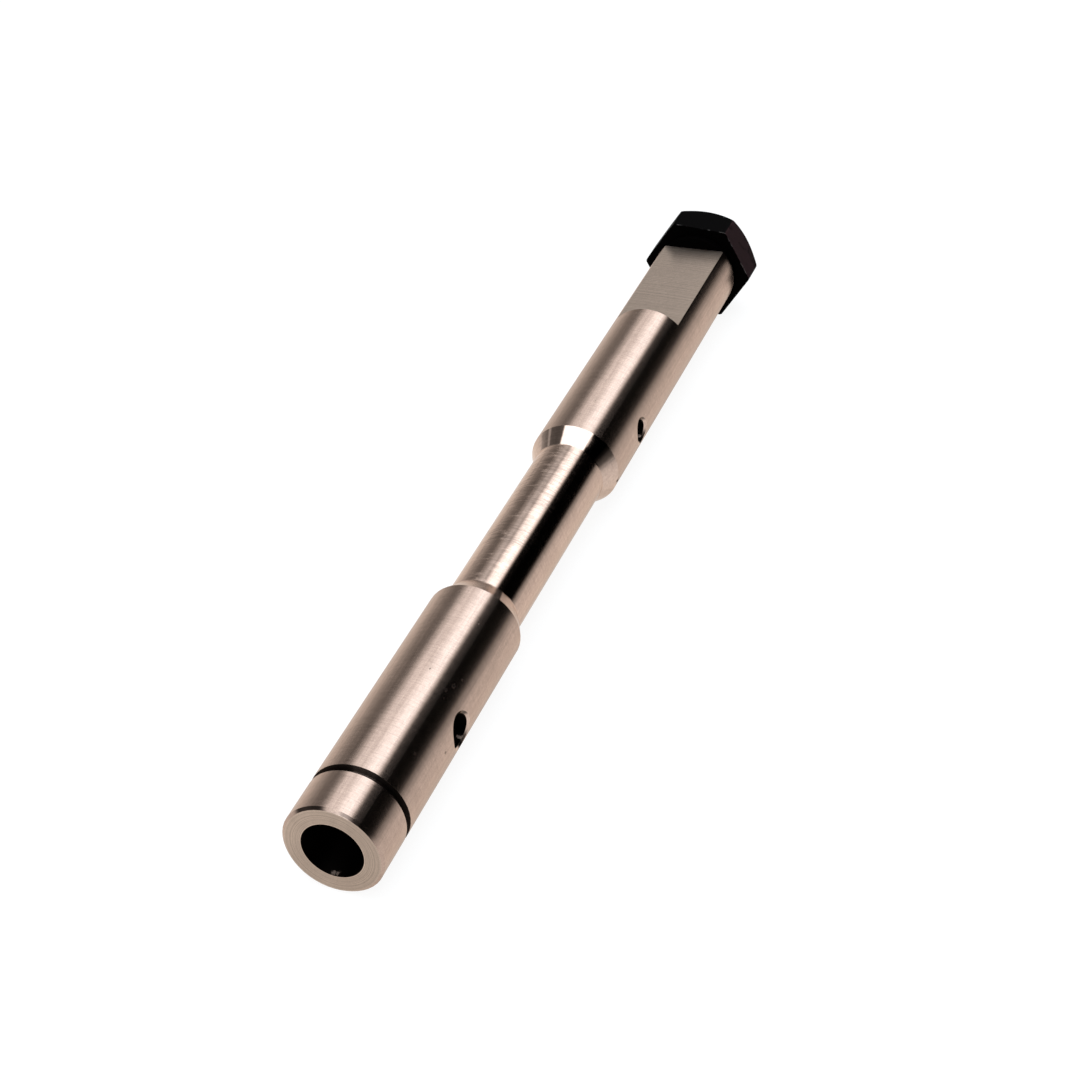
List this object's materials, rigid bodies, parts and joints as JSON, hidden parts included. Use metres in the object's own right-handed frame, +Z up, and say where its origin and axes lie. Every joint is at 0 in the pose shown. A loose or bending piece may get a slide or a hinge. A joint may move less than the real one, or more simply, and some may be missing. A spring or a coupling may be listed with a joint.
{
  "type": "stepped shaft",
  "caption": "Hollow stepped steel shaft with a snap-ring groove, a necked middle, cross holes, a milled flat and a black hex-head end plug.",
  "frame": {"origin": "centre of the bored front face, on the shaft's axis", "axes": "+X along the shaft from the bored front face to the hex plug, +Z up with the shaft lying on a side of its hex plug"},
  "size_m": [0.2018, 0.0238, 0.0208],
  "materials": {
    "turned_steel": "bright turned steel with fine turning marks",
    "black_steel": "black oxide on steel, satin"
  },
  "bodies": {
    "root": {"shaft": "turned_steel", "end_plug": "black_steel"}
  },
  "joints": []
}
